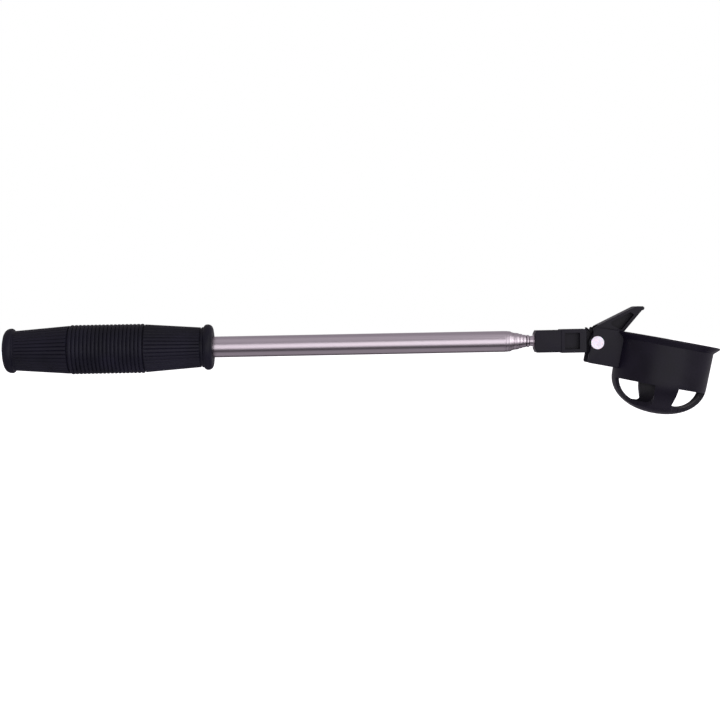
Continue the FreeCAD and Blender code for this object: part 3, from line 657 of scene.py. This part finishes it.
def frontPoint(run, inset=0.0, *radius):
    angle = math.radians(lever["frontAngle"])
    away = lever["front"] - inset
    return (run * math.cos(angle) + away * math.sin(angle), run * math.sin(angle) - away * math.cos(angle), *radius)


def buildLever():
    nearBack, farBack = lever["backRuns"]
    farFront, nearFront = lever["frontRuns"]
    piece = prism("lockLever", [
        (-lever["hub"], 0, 2.0), backPoint(nearBack, 0, 2.5), backPoint(farBack, 0, 3.0), *lever["beak"],
        frontPoint(farFront, 0, 0.4), frontPoint(nearFront, 0, 0.8), *lever["heel"]], lever["half"])
    softenEdges(piece, 0.35)
    depth = (lever["half"] - lever["web"]) / 2
    nearBack, farBack = lever["panelBack"]
    farFront, nearFront = lever["panelFront"]
    for side in (-1, 1):
        panel = prism("panel", [
            backPoint(nearBack, lever["backWall"], 1.2), backPoint(farBack, lever["backWall"], 0.8),
            frontPoint(farFront, lever["frontWall"], 0.5), frontPoint(nearFront, lever["frontWall"], 1.2)],
            depth + 1, side * (lever["web"] + depth + 1))
        combine(piece, panel)
    slot = spinPiece("slot", [(-lever["slotHalf"], 0), (-lever["slotHalf"], lever["slot"]),
                              (lever["slotHalf"], lever["slot"]), (lever["slotHalf"], 0)], 96)
    combine(piece, movePiece(slot, Vector(), math.pi / 2, "Z"))
    drillAcross(piece, lever["hole"])
    movePiece(piece, pivot)
    return finishPiece(piece, "lever", "head_plastic", plastic, "lock_lever")


buildLever()


# spring: one wire, from a leg on the lever round a coil, over the tongue, and back on the far side

spring = {"wire": 0.62, "coil": 3.1, "inside": 2.86, "turns": 2, "bridge": (-4.6, 7.65), "leg": (8.6, 1.0),
          "pointsPerTurn": 16, "held": (-4.0, 0, 6.6), "free": (-0.3, 0, 0.5)}


def leavingAngle(reach, sign):
    # where the wire leaves the coil to run straight to the given point
    return math.atan2(reach[1], reach[0]) + sign * math.acos(spring["coil"] / math.hypot(*reach))


def springRoute():
    # the near half, from the end of the leg to the middle of the bridge
    start = leavingAngle(spring["leg"], 1)
    end = leavingAngle(spring["bridge"], -1) + spring["turns"] * fullTurn
    pitch = spring["wire"] * 1.02
    rounds = (end - start) / fullTurn
    outer = spring["inside"] + pitch * rounds
    steps = round(rounds * spring["pointsPerTurn"])
    radius = spring["coil"] / math.cos(fullTurn / spring["pointsPerTurn"] / 2)     # the curve runs inside its points
    points = [(spring["leg"][0], -outer, spring["leg"][1])]
    for step in range(steps + 1):
        turn = start + (end - start) * step / steps
        side = outer - pitch * rounds * step / steps
        points.append((radius * math.cos(turn), -side, radius * math.sin(turn)))
    across, up = spring["bridge"]
    inside = -spring["inside"]
    points += [(across * 0.93, inside, up * 0.93), (across, inside, up), (across, inside + 0.8, up)]
    return points


def buildSpring():
    near = springRoute()
    far = [(x, -y, z) for x, y, z in reversed(near)]
    route = bpy.data.curves.new("leverSpring", "CURVE")
    route.dimensions = "3D"
    line = route.splines.new("NURBS")
    line.points.add(len(near + far) - 1)
    for point, (x, y, z) in zip(line.points, near + far):
        point.co = (*(pivot + Vector((x, y, z)) * mm), 1)
    line.order_u = 3
    line.use_endpoint_u = True
    line.resolution_u = 4
    route.bevel_depth = spring["wire"] / 2 * mm
    route.bevel_resolution = 3
    route.use_fill_caps = True
    piece = bpy.data.objects.new("leverSpring", route)
    bpy.context.collection.objects.link(piece)
    makeActive(piece)
    bpy.ops.object.convert(target="MESH")
    piece = bpy.context.object
    applyPlace(piece)
    finishPiece(piece, None, "spring_steel", oxide, "lever_spring", smooth=60)
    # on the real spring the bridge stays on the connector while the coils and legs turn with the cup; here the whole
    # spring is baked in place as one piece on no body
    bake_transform(piece)


buildSpring()


# floor, light and camera

studio = {"floorSize": 6.0, "clearance": 0.045, "page": 1.0, "surround": 0.45, "fibre": 0.005,
          "walls": ((0.06, "#f4eef6"), (0.1, "#3a383c"), (0.19, "#3a383c"), (0.26, "#f4eef6"))}
paperLook = {"colours": ("#fafafa", "#ffffff"), "roughness": (0.8, 0.9), "glow": 0.9}
# places are metres from the middle of the object, and a light aims at the target beside the middle
lamps = {"frontLight": {"place": (0.25, -1.0), "height": 0.02, "size": (1.5, 0.8), "power": 4.3, "target": 0.15},
         "topLight": {"place": (-0.1, -0.35), "height": 0.9, "size": (1.2, 0.8), "power": 0.5, "target": 0.0},
         "sideLight": {"place": (0.75, -0.45), "height": 0.35, "size": (1.0, 1.0), "power": 3.6, "target": 0.0}}


def buildStudio():
    low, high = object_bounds()
    middle = (Vector(low) + Vector(high)) / 2
    bpy.ops.mesh.primitive_plane_add(size=studio["floorSize"], location=(middle.x, 0, low[2] - studio["clearance"]))
    floor = bpy.context.object
    floor.name = "floor"
    paper, tree, shader, place = newMaterial("whitePaper", Emission_Strength=paperLook["glow"])
    shader.inputs["Emission Color"].default_value = linearColour("#ffffff")
    fibres = addNode(tree, "ShaderNodeTexNoise", {"Scale": 1 / studio["fibre"], "Detail": 2.0}, Vector=place)
    dressShader(tree, shader, paperLook, fibres.outputs[0], fibres.outputs[0])
    floor.data.materials.append(paper)
    floor.visible_glossy = False      # the steel mirrors the dim room, not the bright page
    floor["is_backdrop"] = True

    room = bpy.data.worlds.new("room")
    bpy.context.scene.world = room
    room.use_nodes = True
    tree = room.node_tree
    tree.nodes.clear()
    page = addNode(tree, "ShaderNodeBackground", {"Color": linearColour("#ffffff"), "Strength": studio["page"]})
    # the dim room has a dark band low on its walls, which draws a line along the underside of the tube
    direction = addNode(tree, "ShaderNodeTexCoord").outputs["Generated"]
    height = addNode(tree, "ShaderNodeSeparateXYZ", i0=direction)
    rise = addNode(tree, "ShaderNodeMapRange", {"From Min": -1.0, "From Max": 1.0}, i0=height.outputs["Z"])
    band = addNode(tree, "ShaderNodeValToRGB", i0=rise.outputs[0])
    for element, code in zip(band.color_ramp.elements, (studio["walls"][0][1], studio["walls"][-1][1])):
        element.color = linearColour(code)
    for spot, code in studio["walls"]:
        band.color_ramp.elements.new(spot).color = linearColour(code)
    dim = addNode(tree, "ShaderNodeBackground", {"Strength": studio["surround"]}, i0=band.outputs[0])
    seen = addNode(tree, "ShaderNodeLightPath").outputs["Is Camera Ray"]
    mix = addNode(tree, "ShaderNodeMixShader", i0=seen, i1=dim.outputs[0], i2=page.outputs[0])
    addNode(tree, "ShaderNodeOutputWorld", Surface=mix.outputs[0])

    for name, lamp in lamps.items():
        addSoftbox(name, lamp, middle)


def addSoftbox(name, lamp, middle):
    side, front = lamp["place"]
    place = Vector((middle.x + side, front, lamp["height"]))
    target = middle + Vector((lamp["target"], 0, 0))
    bpy.ops.object.light_add(type="AREA", location=place)
    softbox = bpy.context.object
    softbox.name = name
    softbox.data.shape = "RECTANGLE"
    softbox.data.size, softbox.data.size_y = lamp["size"]
    softbox.data.energy = lamp["power"]
    softbox.rotation_euler = (target - place).to_track_quat("-Z", "Y").to_euler()
    return softbox


# lengths of the lens are in millimetres, the distance is in metres, and the turns are in degrees
view = {"lens": 75.2, "sensor": 36.0, "distance": 0.792, "elevation": 2.2, "roll": 1.1, "shift": -0.001,
        "drop": 0.0083}


def buildCamera():
    low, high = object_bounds()
    aim = Vector(((low[0] + high[0]) / 2 + view["shift"], 0, -view["drop"]))
    up = math.radians(view["elevation"])
    spot = aim + Vector((0, -math.cos(up), math.sin(up))) * view["distance"]
    bpy.ops.object.camera_add(location=spot)
    camera = bpy.context.object
    camera.data.lens = view["lens"]
    camera.data.sensor_width = view["sensor"]
    camera.data.clip_start = 0.01
    look = (aim - spot).to_track_quat("-Z", "Y")
    camera.rotation_euler = (look.to_matrix() @ Matrix.Rotation(-math.radians(view["roll"]), 3, "Z")).to_euler()
    bpy.context.scene.camera = camera


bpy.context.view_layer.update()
buildStudio()
buildCamera()
print("studio ready")
